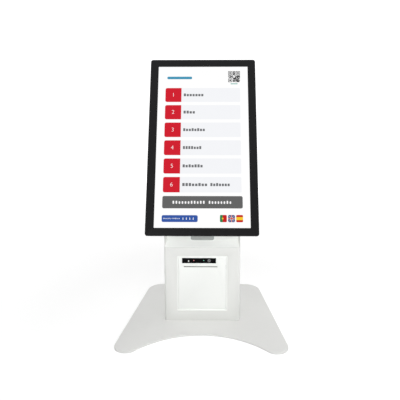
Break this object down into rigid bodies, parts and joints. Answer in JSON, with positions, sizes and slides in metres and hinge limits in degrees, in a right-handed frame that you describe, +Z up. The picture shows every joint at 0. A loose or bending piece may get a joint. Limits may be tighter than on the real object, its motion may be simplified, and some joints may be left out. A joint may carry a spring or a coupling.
{
  "type": "countertop ticket kiosk",
  "caption": "Countertop ticket kiosk: portrait touch display leaning back on a sheet-metal column with a panel-mount thermal ticket printer, on a flat foot plate.",
  "frame": {"origin": "on the counter, under the middle of the foot plate", "axes": "+Z up, the screen and the printer face -Y, +X to the right as seen from the front"},
  "size_m": [0.3776, 0.344, 0.6519],
  "materials": {
    "foot_coat": "fine-texture light grey powder coat",
    "white_coat": "fine-texture white powder coat",
    "grey_coat": "satin grey paint",
    "black_coat": "satin black paint",
    "rubber": "matte",
    "platen_rubber": "ground matte",
    "steel": "zinc plated",
    "black_screws": "black oxide",
    "blade_steel": "ground",
    "motor_steel": "plain",
    "nylon": "natural nylon",
    "gear_plastic": "natural acetal",
    "pinion_brass": "machined",
    "screen_glass": "gloss, printed black border",
    "frame_black": "fine matte black",
    "panel_backing": "satin",
    "board_green": "solder mask",
    "printer_white": "satin white",
    "window_tint": "polished dark tint",
    "led_red_lens": "clear red",
    "led_green_lens": "clear green",
    "magnet": "sintered ferrite",
    "paper": "matte thermal paper",
    "core_card": "matte",
    "black_plastic": "moulded",
    "head_aluminium": "anodised",
    "rocker_black": "gloss",
    "lock_chrome": "polished"
  },
  "bodies": {
    "column": {"base_plate": "foot_coat", "base_feet": "rubber", "column_screws": "steel", "column_shell": "white_coat", "deck_panel": "white_coat", "mount_arm": "grey_coat", "arm_screws": "steel", "tilt_pin": "steel", "tilt_washers": "nylon", "printer_bezel": "printer_white", "door_pins": "steel", "door_magnet": "magnet", "printer_chassis": "steel", "printer_screws": "steel", "roll_spindle": "black_plastic", "gear_plate": "steel", "feed_motor": "motor_steel", "thermal_head": "head_aluminium", "head_bracket": "steel", "head_springs": "steel", "cutter_guide": "black_plastic", "cutter_motor": "black_plastic", "printer_board": "board_green", "rear_hinge_fixed": "steel", "rear_hinge_pins": "steel", "rear_sill": "white_coat", "sill_screws": "steel", "power_inlet": "black_plastic", "switch_frame": "black_plastic", "network_socket": "black_plastic", "power_supply": "head_aluminium"},
    "display": {"display_frame": "frame_black", "touch_glass": "screen_glass", "lcd_panel": "panel_backing", "rear_housing": "frame_black", "housing_screws": "black_screws", "display_board": "board_green", "vesa_plate": "black_coat", "vesa_screws": "steel"},
    "button": {"display_button": "frame_black"},
    "printer_front": {"printer_door": "printer_white", "status_window": "window_tint", "led_red": "led_red_lens", "led_green": "led_green_lens", "indicator_board": "board_green", "striker_plate": "steel", "fixed_blade": "blade_steel"},
    "platen": {"platen_roller": "platen_rubber", "platen_shaft": "steel", "platen_gear": "gear_plastic"},
    "idler": {"idler_gear": "gear_plastic"},
    "pinion": {"motor_pinion": "pinion_brass"},
    "blade": {"cutter_blade": "blade_steel"},
    "paper": {"paper_roll": "paper", "roll_core": "core_card"},
    "service_door": {"rear_door": "white_coat", "rear_hinge_moving": "steel", "lock_barrel": "lock_chrome"},
    "lock": {"lock_cam": "lock_chrome"},
    "rocker": {"power_rocker": "rocker_black"}
  },
  "joints": [
    {"name": "display_tilt", "type": "hinge", "parent": "column", "child": "display", "pos_m": [0, 0.04691, 0.42439], "axis": [-1, 0, 0], "range_deg": [0, 15]},
    {"name": "display_button_press", "type": "slide", "parent": "display", "child": "button", "axis": [0, -0.9545, 0.2982], "range_m": [0, 0.0012], "stiffness_N_per_m": 900, "springref_m": -0.0006},
    {"name": "printer_door_swing", "type": "hinge", "parent": "column", "child": "printer_front", "pos_m": [0, -0.04, 0.0376], "axis": [1, 0, 0], "range_deg": [0, 85]},
    {"name": "platen_turn", "type": "hinge", "parent": "printer_front", "child": "platen", "pos_m": [-0.0037, -0.027, 0.124], "axis": [1, 0, 0], "continuous": true},
    {"name": "idler_turn", "type": "hinge", "parent": "column", "child": "idler", "pos_m": [0.043, -0.0061, 0.124], "axis": [1, 0, 0], "continuous": true},
    {"name": "pinion_turn", "type": "hinge", "parent": "column", "child": "pinion", "pos_m": [0.043, 0.00642, 0.11148], "axis": [1, 0, 0], "continuous": true},
    {"name": "blade_stroke", "type": "slide", "parent": "column", "child": "blade", "axis": [0, -1, 0], "range_m": [0, 0.008]},
    {"name": "paper_roll_turn", "type": "hinge", "parent": "column", "child": "paper", "pos_m": [-0.0037, 0.016, 0.081], "axis": [1, 0, 0], "continuous": true},
    {"name": "service_door_swing", "type": "hinge", "parent": "column", "child": "service_door", "pos_m": [-0.0845, 0.1132, 0.235], "axis": [0, 0, 1], "range_deg": [0, 110]},
    {"name": "lock_turn", "type": "hinge", "parent": "service_door", "child": "lock", "pos_m": [0.06, 0.1098, 0.235], "axis": [0, -1, 0], "range_deg": [0, 90]},
    {"name": "power_rocker_tilt", "type": "hinge", "parent": "column", "child": "rocker", "pos_m": [0, 0.1085, 0.038], "axis": [1, 0, 0], "range_deg": [0, 18]}
  ],
  "couplings": [
    {"joint": "idler_turn", "follows": "platen_turn", "ratio": -0.73333},
    {"joint": "pinion_turn", "follows": "platen_turn", "ratio": 1.5714}
  ]
}
